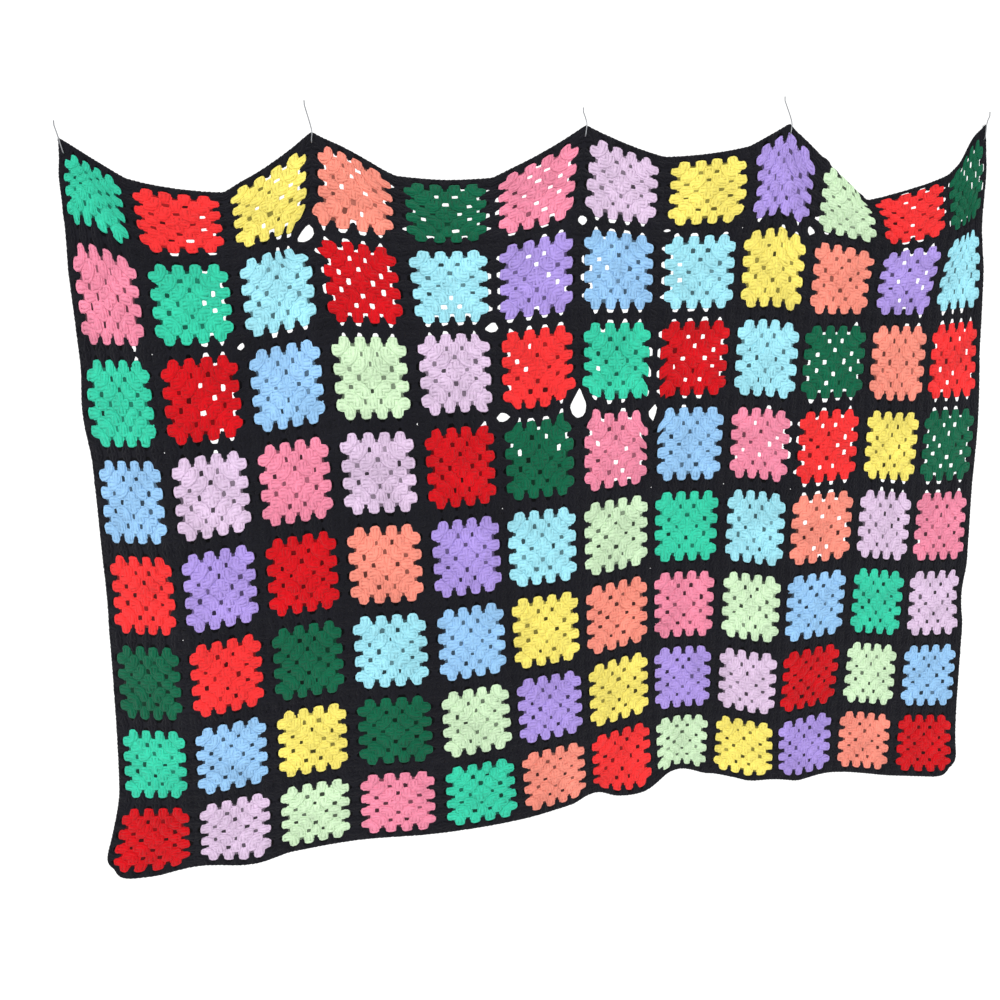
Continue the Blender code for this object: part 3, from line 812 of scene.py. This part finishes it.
def crochet(name, squares, chosen, material):
    """One mesh of the chosen clusters of some squares, hung."""
    column, row = squares % COLUMNS, squares // COLUMNS
    points, groups, done = [], [], 0
    for flat, widths in (
        (stitch_points[squares][:, chosen], stitch_widths[squares][:, chosen]),
        (bar_points[squares][:, chosen], bar_widths[squares][:, chosen]),
    ):
        per_square = widths[0, ..., 0].size
        places, faces = tube_mesh(flat.reshape(-1, *flat.shape[-2:]), widths.reshape(-1, widths.shape[-1]))
        columns, rows = (np.repeat(numbers, per_square)[:, None] for numbers in (column, row))
        carried = hang(columns, rows, places[..., 0], places[..., 1], places[..., 2])
        points.append(carried.reshape(-1, 3))
        for group, strand in faces:
            turns = np.stack((strand[:, 0] / PLY_TURN + strand[:, 1] * PLIES / 2, strand[:, 1]), axis=1)
            groups.append((group + done, turns))
        done += len(points[-1])
    return add_mesh(name, np.concatenate(points), groups, [material])


all_squares = np.arange(square_count)
for colour in YARN_CARD:
    own = np.array([index for index in all_squares if square_colours[index] == colour])
    piece = crochet(f"stitches_{colour}", own, cluster_rounds < ROUNDS, yarns[colour])
    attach(piece, "root")
BLACK_BANDS = 4
for band, own in enumerate(np.split(all_squares, BLACK_BANDS)):
    piece = crochet(f"joining_round_{band + 1}", own, cluster_rounds == ROUNDS, yarns["black"])
    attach(piece, "root")

# %% [markdown]
# ## The edging
#
# One row of slip stitches runs round the whole blanket and gives it a smooth edge. A slip stitch is a
# short strand that lies along the edge, over the end of the one before it.

# %% Slip stitches round the blanket
EDGING_STEP = 6.25  # millimetres from stitch to stitch
EDGING_LENGTH, EDGING_HALF_WIDTH = 9.0, 2.3  # millimetres
EDGING_LEAN = 0.5  # millimetres by which it starts inside the edge's line and ends outside it


def edging_side(start, end):
    """The slip stitches' flat points along one side of the blanket, from corner to corner."""
    length = np.linalg.norm(end - start)
    ahead = (end - start) / length
    outward = np.array([ahead[1], -ahead[0]])
    middles = np.arange(EDGING_STEP / 2, length, EDGING_STEP)
    places = []
    for share in (-0.5, 0.0, 0.5):
        run = middles + share * EDGING_LENGTH
        places.append(start + run[:, None] * ahead + outward * 2 * share * EDGING_LEAN)
    places = np.stack(places, axis=1)
    return np.concatenate((places, np.zeros(places.shape[:2] + (1,))), axis=2)


# The corners in millimetres right and down, once round from the top left.
across, down = COLUMNS * SQUARE, ROWS * SQUARE
corners = [np.array(corner) for corner in ((0.0, 0.0), (across, 0.0), (across, down), (0.0, down))]
sides = [edging_side(start, end) for start, end in zip(corners, corners[1:] + corners[:1])]
edging_points = np.concatenate(sides)
edging_points[..., 2] += jitter(UNEVEN_LOOP_PROUD, edging_points.shape[:2])
edging_widths = np.full(edging_points.shape[:2], EDGING_HALF_WIDTH)
places, groups = tube_mesh(edging_points, edging_widths)
hung_places = carry(places[..., 0] / SQUARE, places[..., 1] / SQUARE, places[..., 2])
strand_groups = [(faces, strand / PLY_TURN) for faces, strand in groups]
edging = add_mesh("edging", hung_places.reshape(-1, 3), strand_groups, [yarns["black"]])
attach(edging, "root")

# %% [markdown]
# ## The ground between the stitches
#
# Behind and between the strands a crocheted fabric is closed by the strands' other sides, tight loops
# and fuzz. Here that is one thin sheet in the middle of the fabric: it carries the size of the whole
# cloth and gives each gap its real shape. A round of n clusters has n - 1 gaps on each side. In the
# upper rows the blanket's own weight has opened them, and light comes through. Lower down the same
# gaps are slack and fuzz fills them; their dark look is painted shade, a darker yarn colour on their
# faces, darker towards the hem. One square is cut into triangles once, by Delaunay's rule with the
# gaps' outlines as fixed edges, and repeated.


# %% Outlines of one square's gaps
def mirrored(*points):
    """Points on one side of the middle, and then the same points on the other side, backwards."""
    return points + tuple((-aside, out) for aside, out in reversed(points))


# A gap's outline in the flat, for one on the top side of its square: pairs of how far aside and how far
# out of the previous round, in millimetres. A coloured round's gap is a small box with its corners cut.
# The black round's gap is a half moon over a coloured head, narrower towards the seam.
GAP = mirrored((-3.0, 2.4), (-1.9, 1.3)) + mirrored((3.0, 6.8), (1.9, 8.0))
JOINING_GAP = mirrored((-4.8, 1.0), (-2.0, 0.8)) + mirrored((4.6, 3.4), (2.8, 5.6))
# The ground is black between the coloured heads, where the black feet go, and in the step at a corner,
# which is measured from the middle of the square. Both shapes flare outwards round the heads.
NOTCH = mirrored((-4.0, 7.2)) + mirrored((4.2, 12.0), (5.4, ROUND_DEPTH))
CORNER_STEP = (
    (43.4, 43.4),
    (50.0, 42.2),
    (COLOURED_HALF, 38.8),
    (COLOURED_HALF, COLOURED_HALF),
    (38.8, COLOURED_HALF),
    (42.2, 50.0),
)


def on_side(aside, out, side):
    """A place on the top side of a square, turned to another side."""
    turn = side * math.pi / 2
    x = aside * math.cos(turn) + out * math.sin(turn)
    y = out * math.cos(turn) - aside * math.sin(turn)
    return Vector((x, y))


gap_rounds, outlines = [], []
for number in range(2, ROUNDS + 1):
    for side in range(4):
        for index in range(number - 1):
            along = (index - (number - 2) / 2) * PITCH
            inner = (number - 1) * ROUND_DEPTH
            shape = JOINING_GAP if number == ROUNDS else GAP
            outlines.append([on_side(along + aside, inner + out, side) for aside, out in shape])
            gap_rounds.append(number)
gap_rounds = np.array(gap_rounds)
gap_count = len(outlines)
for side in range(4):
    for index in range(ROUNDS - 2):
        along = (index - (ROUNDS - 3) / 2) * PITCH
        inner = (ROUNDS - 2) * ROUND_DEPTH
        outlines.append([on_side(along + aside, inner + out, side) for aside, out in NOTCH])
    outlines.append([on_side(aside, out, side) for aside, out in CORNER_STEP])
print(gap_count, "gaps and", len(outlines) - gap_count, "notches in a square")

# %% Cut one square into triangles
half = SQUARE / 2
JUNCTION = 1.4  # millimetres that the gap at a junction reaches along the seams
JUNCTION_INSIDE = 0.7 * JUNCTION  # and inwards from both of them
SAME_POINT = 1e-5  # millimetres; points nearer than this are one
seam_places = [step * ROUND_DEPTH for step in range(1 - ROUNDS, ROUNDS)]
edge_places = [-half, -half + JUNCTION, *seam_places, half - JUNCTION]
ANTICLOCKWISE = (0, 3, 2, 1)  # the sides, from the top one
border = [on_side(-place, half, side) for side in ANTICLOCKWISE for place in edge_places]
points = list(border)
loops = [list(range(len(border)))]
point_gap = [-1] * len(points)
for number, shape in enumerate(outlines):
    loops.append([len(points) + step for step in range(len(shape))])
    points += shape
    point_gap += [number if number < gap_count else -1] * len(shape)
for number, side in enumerate(ANTICLOCKWISE):
    start = number * len(edge_places)
    loops.append([start, start + 1, len(points), (start - 1) % len(border)])
    points.append(on_side(half - JUNCTION_INSIDE, half - JUNCTION_INSIDE, side))
    point_gap.append(-1)
# The line between the coloured rounds and the black one is cut too.
rim = [len(points) + side for side in range(4)]
points += [on_side(COLOURED_HALF, COLOURED_HALF, side) for side in range(4)]
point_gap += [-1] * 4
rim_edges = list(zip(rim, rim[1:] + rim[:1]))
cut = delaunay_2d_cdt(points, rim_edges, loops, 0, SAME_POINT)
cut_points, _, cut_faces, sources, _, face_sources = cut
flat_points = np.array([tuple(point) for point in cut_points])
flat_faces = np.array(cut_faces)
point_gap = np.array([point_gap[found[0]] if found else -1 for found in sources])
face_shape = np.array([max(found) - 1 for found in face_sources])
in_gap = (face_shape >= 0) & (face_shape < gap_count)
in_notch = (face_shape >= gap_count) & (face_shape < len(outlines))
from_middle = abs(flat_points[flat_faces].mean(1)).max(1)
is_black = in_notch | (from_middle > COLOURED_HALF)
print(len(flat_faces), "triangles in one square of ground")

# %% Where the crochet is loose
# Each loose spot is an ellipse: its middle as a seam line and a row line, how far it reaches across and
# down in squares, and the share of the gaps in it that are open. The first list is for the coloured
# rounds and the second for the black one.
Loose = namedtuple("Loose", "seam row across down share")
LOOSE_SQUARES = (
    Loose(1.8, 0.6, 0.3, 0.4, 0.5),
    Loose(2.7, 0.5, 0.4, 0.5, 0.5),
    Loose(3.5, 0.5, 0.6, 0.6, 0.5),
    Loose(4.3, 0.5, 0.2, 0.5, 0.3),
    Loose(4.75, 0.5, 0.3, 0.5, 0.9),
    Loose(5.75, 0.45, 0.4, 0.5, 0.6),
    Loose(10.65, 0.5, 0.35, 0.5, 0.5),
    Loose(11.6, 0.5, 0.4, 0.5, 0.5),
    Loose(1.85, 1.5, 0.27, 0.55, 0.8),
    Loose(3.5, 1.5, 0.6, 0.6, 0.95),
    Loose(4.6, 1.85, 0.3, 0.25, 0.9),
    Loose(5.7, 1.45, 0.4, 0.5, 0.6),
    Loose(6.2, 1.5, 0.3, 0.5, 0.5),
    Loose(7.15, 1.5, 0.15, 0.5, 0.7),
    Loose(10.6, 1.5, 0.35, 0.5, 0.4),
    Loose(1.75, 2.5, 0.28, 0.55, 0.85),
    Loose(5.25, 2.45, 0.25, 0.3, 0.8),
    Loose(6.2, 2.3, 0.15, 0.4, 0.4),
    Loose(7.4, 2.5, 0.5, 0.6, 0.55),
    Loose(9.5, 2.5, 0.6, 0.6, 0.9),
    Loose(11.5, 2.5, 0.6, 0.6, 0.4),
    Loose(5.5, 3.2, 0.5, 0.3, 0.6),
    Loose(6.5, 3.4, 0.5, 0.5, 0.3),
    Loose(8.5, 3.5, 0.6, 0.6, 0.4),
    Loose(9.5, 3.5, 0.6, 0.6, 0.5),
    Loose(11.5, 3.5, 0.6, 0.6, 0.8),
    Loose(9.5, 4.5, 0.5, 0.5, 0.4),
    Loose(11.5, 4.5, 0.5, 0.5, 0.2),
)
LOOSE_JOINS = (
    Loose(1.75, 1.0, 0.4, 0.2, 0.5),
    Loose(3.2, 1.0, 0.65, 0.2, 0.9),
    Loose(5.6, 1.0, 0.4, 0.2, 0.7),
    Loose(6.5, 1.0, 0.5, 0.2, 0.9),
    Loose(7.35, 1.1, 0.5, 0.1, 0.9),
    Loose(8.5, 1.0, 0.5, 0.2, 0.6),
    Loose(8.95, 0.88, 0.3, 0.15, 0.9),
    Loose(10.65, 0.1, 0.3, 0.15, 0.7),
    Loose(10.65, 1.0, 0.3, 0.2, 0.6),
    Loose(11.05, 0.5, 0.15, 0.5, 0.5),
    Loose(11.95, 0.5, 0.15, 0.5, 0.4),
    Loose(9.5, 2.08, 0.5, 0.1, 0.6),
    Loose(10.72, 2.0, 0.22, 0.2, 0.9),
    Loose(11.5, 2.0, 0.4, 0.2, 0.6),
    Loose(0.8, 2.0, 0.1, 0.2, 1.0),
    Loose(1.75, 2.0, 0.3, 0.2, 0.8),
    Loose(3.0, 2.0, 1.1, 0.2, 0.8),
    Loose(4.6, 2.0, 0.5, 0.2, 0.7),
    Loose(6.0, 2.0, 1.0, 0.2, 0.9),
    Loose(7.5, 2.0, 0.6, 0.2, 0.9),
    Loose(1.8, 3.0, 0.22, 0.2, 0.9),
    Loose(4.85, 3.08, 0.15, 0.1, 0.9),
    Loose(5.5, 3.08, 0.55, 0.1, 0.95),
    Loose(6.2, 3.0, 0.6, 0.2, 0.6),
    Loose(7.3, 3.0, 0.5, 0.2, 0.5),
    Loose(3.0, 1.4, 0.2, 0.4, 0.4),
    Loose(4.0, 0.6, 0.2, 0.4, 0.4),
    Loose(5.0, 0.6, 0.2, 0.4, 0.6),
    Loose(5.0, 1.6, 0.2, 0.4, 0.6),
    Loose(6.1, 1.5, 0.1, 0.5, 0.9),
    Loose(7.1, 1.5, 0.1, 0.5, 0.9),
    Loose(7.0, 2.5, 0.2, 0.5, 0.7),
    Loose(8.5, 3.0, 0.5, 0.2, 0.3),
    Loose(9.5, 3.0, 0.6, 0.2, 0.85),
    Loose(9.05, 3.5, 0.15, 0.5, 0.8),
    Loose(9.5, 4.0, 0.6, 0.2, 0.85),
    Loose(11.2, 4.0, 0.9, 0.2, 0.85),
    Loose(11.5, 3.0, 0.6, 0.2, 0.8),
)
print(len(LOOSE_SQUARES), "loose spots in coloured rounds and", len(LOOSE_JOINS), "in black ones")

# %% How open and how wide the gaps are, and how much shade is painted on closed ones
# Closed gaps get painted shade, a darker yarn colour, stronger towards the hem.
GAP_SHADE_TOP, GAP_SHADE_HEM = 0.82, 0.95  # how dark closed gaps are at the top edge and at the hem
UNEVEN_GAP_SHADE = 0.12  # how much that varies, as a share
GAP_YIELD = 1.2  # a gap takes more than its share of a square's stretch
UNEVEN_GAP, UNEVEN_CORNERS = 0.16, 0.3  # its size as a share, and its corners in millimetres
PINHOLE_SHARE, PINHOLE_ROWS = 0.08, 5  # of the corners, down to this row, that show a pinhole


def share_open(spots, seam, line):
    """The share of the gaps that are open at some places of the blanket."""
    share = np.zeros_like(seam)
    for spot in spots:
        inside = ((seam - spot.seam) / spot.across) ** 2 + ((line - spot.row) / spot.down) ** 2 < 1
        share = np.where(inside, np.maximum(share, spot.share), share)
    return share


def square_stretch(column, row):
    """How much wider than high a square hangs."""
    seams = column + np.array([0.0, 1.0, 0.5, 0.5])
    lines = row + np.array([0.5, 0.5, 0.0, 1.0])
    left, right, top, bottom = hung(seams, lines)
    return np.linalg.norm(right - left) / np.linalg.norm(bottom - top)


junctions_open = {(opening.seam, opening.row) for opening in OPENINGS}
print(len(junctions_open), "open junctions")

# %% The ground of one square
gap_middles = np.array([sum(shape, Vector((0, 0))) / len(shape) for shape in outlines[:gap_count]])
corner_places = ((1, 0), (0, 0), (0, 1), (1, 1))  # right and down, each at the start of its side
own_gap = np.where(in_gap, face_shape, 0)


def square_ground(column, row):
    """A square's flat places, which of its triangles are kept, and the painted shade of each in a closed
    gap.
    """
    at = on_blanket(column, row, gap_middles[:, 0], gap_middles[:, 1])
    share = np.where(gap_rounds == ROUNDS, share_open(LOOSE_JOINS, *at), share_open(LOOSE_SQUARES, *at))
    opened = dice.random(gap_count) < share
    stretch = square_stretch(column, row) ** GAP_YIELD
    size = np.array([stretch, 1 / stretch]) * (1 + jitter(UNEVEN_GAP, (gap_count, 2)))
    # Painted shade on the closed gaps, stronger towards the hem.
    gap_shade = GAP_SHADE_TOP + (GAP_SHADE_HEM - GAP_SHADE_TOP) * row / (ROWS - 1)
    gap_shades = np.clip(gap_shade * (1 + jitter(UNEVEN_GAP_SHADE, gap_count)), 0, 1)
    places = flat_points.copy()
    inside = point_gap >= 0
    own = point_gap[inside]
    places[inside] = gap_middles[own] + (places[inside] - gap_middles[own]) * size[own]
    places[inside] += jitter(UNEVEN_CORNERS, places[inside].shape)
    keep = np.ones(len(flat_faces), bool)
    keep[in_gap] = ~opened[face_shape[in_gap]]
    for number, (right, down) in enumerate(corner_places):
        pinhole = row < PINHOLE_ROWS and dice.random() < PINHOLE_SHARE
        if pinhole or (column + right, row + down) in junctions_open:
            keep[face_shape == len(outlines) + number] = False
    return places, keep, np.where(in_gap, gap_shades[own_gap], 0.0)


print(len(gap_middles), "gap middles; the first is at", gap_middles[0].round(1))

# %% Lay the ground under every square
yarn_names = [*YARN_CARD, "black"]
ground_points, ground_faces, ground_painted_shade, ground_material = [], [], [], []
for index in all_squares:
    column, row = index % COLUMNS, index // COLUMNS
    places, keep, painted_shades = square_ground(column, row)
    ground_points.append(hang(column, row, places[:, 0], places[:, 1], np.zeros(len(places))))
    ground_faces.append(flat_faces[keep] + len(flat_points) * index)
    ground_painted_shade.append(painted_shades[keep])
    colour = yarn_names.index(square_colours[index])
    ground_material.append(np.where(is_black, yarn_names.index("black"), colour)[keep])
ground_faces = np.concatenate(ground_faces)
ground = add_mesh(
    "crochet_ground",
    np.concatenate(ground_points),
    [(ground_faces, np.zeros((ground_faces.size, 2)))],
    [yarns[name] for name in yarn_names],
    np.concatenate(ground_material),
)
# The painted shade of the closed gaps goes onto the ground's faces as their depth value.
depth = ground.data.attributes.new("depth", "FLOAT", "FACE")
depth.data.foreach_set("value", np.concatenate(ground_painted_shade).astype(np.float32))
print(len(ground.data.polygons), "triangles of ground")

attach(ground, "root")
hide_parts("blanket")

# %% [markdown]
# ## Steel wire
#
# The hooks are bent from bare steel wire of 1.6 mm, drawn through a die and left as it came. Drawing
# leaves it smooth and bright, and handling dulls it in patches, so a noise sets its roughness. The
# frame's own hooks already have their shape and only get this material.

# %% The hooks' material
STEEL = "8D8F92"
HANDLING_PATCH = 5.556 * MM  # across a patch that handling has made dull
ROUGHNESSES = {"From Min": 0.3, "From Max": 0.7, "To Min": 0.28, "To Max": 0.5}  # from that noise


def drawn_steel_wire(name):
    """Bare drawn steel wire, dulled by handling."""
    material = bpy.data.materials.new(name)
    material.use_nodes = True
    tree = material.node_tree
    shader = tree.nodes["Principled BSDF"]
    place = add_node(tree, "ShaderNodeTexCoord").outputs["Object"]
    handling = add_node(
        tree,
        "ShaderNodeTexNoise",
        {"Vector": place, "Scale": 1 / HANDLING_PATCH, "Detail": 3.0},
    )
    dull = add_node(tree, "ShaderNodeMapRange", {"Value": handling.outputs["Fac"], **ROUGHNESSES})
    tree.links.new(dull.outputs["Result"], shader.inputs["Roughness"])
    shader.inputs["Base Color"].default_value = linear(STEEL)
    shader.inputs["Metallic"].default_value = 1.0
    return material


steel = drawn_steel_wire("drawn_steel_wire")
for hook in HOOKS:
    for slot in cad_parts[hook.name].material_slots:
        slot.material = steel
print("steel on", len(HOOKS), "hooks")

# %% [markdown]
# ## Floor and light
#
# The floor is plain and pale and lies well below the hem. A white sky lights the blanket evenly from
# all sides, and one broad sun from the upper left gives the folds their soft shade.

# %% The floor
FLOOR_BELOW_HEM, FLOOR_SIZE = 0.9, 60  # metres
FLOOR_WHITE = "F6F6F6"
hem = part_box("blanket")[0].z
bpy.ops.mesh.primitive_plane_add(size=FLOOR_SIZE, location=(0, 0, hem - FLOOR_BELOW_HEM))
floor = bpy.context.object
floor.name = "floor"
paint = bpy.data.materials.new("pale_floor")
paint.use_nodes = True
paint.node_tree.nodes["Principled BSDF"].inputs["Base Color"].default_value = linear(FLOOR_WHITE)
paint.node_tree.nodes["Principled BSDF"].inputs["Roughness"].default_value = 0.9
floor.data.materials.append(paint)
print("floor at", round(hem - FLOOR_BELOW_HEM, 3))

# %% Sky and sun
SKY_STRENGTH = 1.15
SUN_STRENGTH = 0.8
SUN_TILT = math.radians(50)  # from straight above
SUN_TURN = math.radians(-35)  # so that it comes from the left
SUN_BREADTH = math.radians(30)

sky = bpy.data.worlds.new("sky")
sky.use_nodes = True
sky.node_tree.nodes["Background"].inputs["Color"].default_value = (1, 1, 1, 1)
sky.node_tree.nodes["Background"].inputs["Strength"].default_value = SKY_STRENGTH
bpy.context.scene.world = sky

sun = bpy.data.objects.new("sun", bpy.data.lights.new("sun", "SUN"))
bpy.context.scene.collection.objects.link(sun)
sun.rotation_euler = (SUN_TILT, 0, SUN_TURN)
sun.data.energy = SUN_STRENGTH
sun.data.angle = SUN_BREADTH
bpy.context.scene.view_settings.view_transform = "Standard"
print("a sky of", SKY_STRENGTH, "and a sun of", SUN_STRENGTH)
